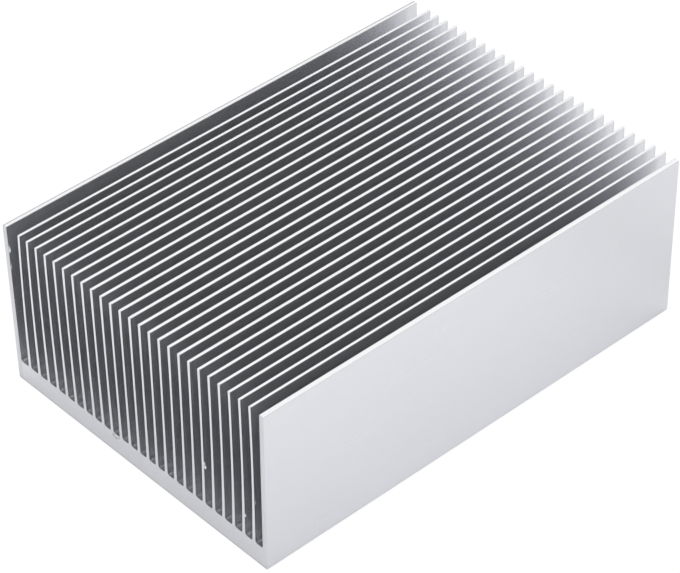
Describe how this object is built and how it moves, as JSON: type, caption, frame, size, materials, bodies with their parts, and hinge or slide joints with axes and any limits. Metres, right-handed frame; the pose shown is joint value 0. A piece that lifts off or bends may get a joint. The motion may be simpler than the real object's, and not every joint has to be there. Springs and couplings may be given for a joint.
{
  "type": "extruded heat sink",
  "caption": "One-piece extruded aluminium heat sink: a flat base plate with a dense comb of thin straight fins between two plain outer walls.",
  "frame": {"origin": "centre of the flat underside of the base plate", "axes": "+X across the fins, +Y along the fins and the extrusion, +Z from the underside up to the fin tips"},
  "size_m": [0.0696, 0.1, 0.0357],
  "materials": {
    "aluminium": "clear silver finish on a plain extruded skin, with faint die lines along the fins and sawn ends"
  },
  "bodies": {
    "root": {"heat_sink": "aluminium"}
  },
  "joints": []
}
